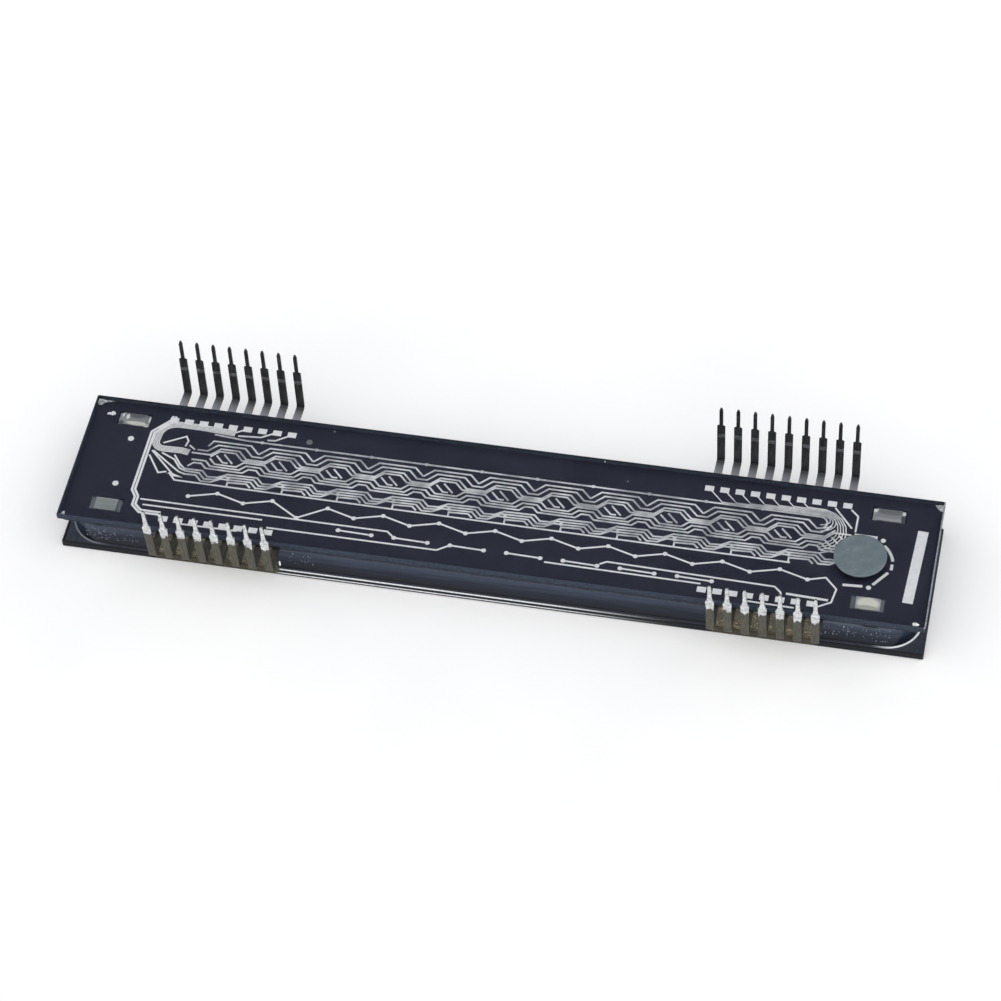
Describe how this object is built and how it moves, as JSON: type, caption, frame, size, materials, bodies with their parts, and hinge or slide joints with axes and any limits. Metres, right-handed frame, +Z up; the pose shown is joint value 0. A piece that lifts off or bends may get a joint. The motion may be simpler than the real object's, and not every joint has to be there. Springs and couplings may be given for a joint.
{
  "type": "vacuum fluorescent display",
  "caption": "Flat sealed glass display tube lying face down, with printed wiring seen through its back, a disc over its exhaust hole and bent leads along both long sides.",
  "frame": {"origin": "centre of the front cover glass's outer face, which the display rests on", "axes": "+X along the display towards the exhaust disc, +Y across it towards the far row of leads, +Z up through the back glass"},
  "size_m": [0.13, 0.0333, 0.0176],
  "materials": {
    "cover_glass": "smoked, polished",
    "spacer_glass": "polished",
    "substrate_glass": "clear, polished",
    "seal_frit": "fired glass",
    "aluminium_film": "bright film",
    "black_print": "fired glass print",
    "phosphor": "matt powder",
    "support_metal": "rolled sheet",
    "getter_metal": "pressed",
    "closing_disc": "matt, oxidised",
    "coated_filament": "oxide coat on wire",
    "grid_metal": "etched sheet",
    "lead_alloy": "stamped strip, tips dipped in solder"
  },
  "bodies": {
    "root": {"cover_glass": "cover_glass", "lower_frit_seal": "seal_frit", "spacer_frame": "spacer_glass", "upper_frit_seal": "seal_frit", "substrate_glass": "substrate_glass", "wiring_film": "aluminium_film", "black_print": "black_print", "anode_segments": "phosphor", "anchor_support": "support_metal", "spring_support": "support_metal", "getter_ring": "getter_metal", "exhaust_frit": "seal_frit", "exhaust_disc": "closing_disc", "filament_1": "coated_filament", "filament_2": "coated_filament", "filament_3": "coated_filament", "grid_01": "grid_metal", "grid_02": "grid_metal", "grid_03": "grid_metal", "grid_04": "grid_metal", "grid_05": "grid_metal", "grid_06": "grid_metal", "grid_07": "grid_metal", "grid_08": "grid_metal", "grid_09": "grid_metal", "grid_10": "grid_metal", "grid_11": "grid_metal", "grid_12": "grid_metal", "lead_01": "lead_alloy", "lead_02": "lead_alloy", "lead_03": "lead_alloy", "lead_04": "lead_alloy", "lead_05": "lead_alloy", "lead_06": "lead_alloy", "lead_07": "lead_alloy", "lead_08": "lead_alloy", "lead_09": "lead_alloy", "lead_10": "lead_alloy", "lead_11": "lead_alloy", "lead_12": "lead_alloy", "lead_13": "lead_alloy", "lead_14": "lead_alloy", "lead_15": "lead_alloy", "lead_16": "lead_alloy", "lead_17": "lead_alloy", "lead_18": "lead_alloy", "lead_19": "lead_alloy", "lead_20": "lead_alloy", "lead_21": "lead_alloy", "lead_22": "lead_alloy", "lead_23": "lead_alloy", "lead_24": "lead_alloy", "lead_25": "lead_alloy", "lead_26": "lead_alloy", "lead_27": "lead_alloy", "lead_28": "lead_alloy", "lead_29": "lead_alloy", "lead_30": "lead_alloy", "lead_31": "lead_alloy", "lead_32": "lead_alloy"}
  },
  "joints": []
}
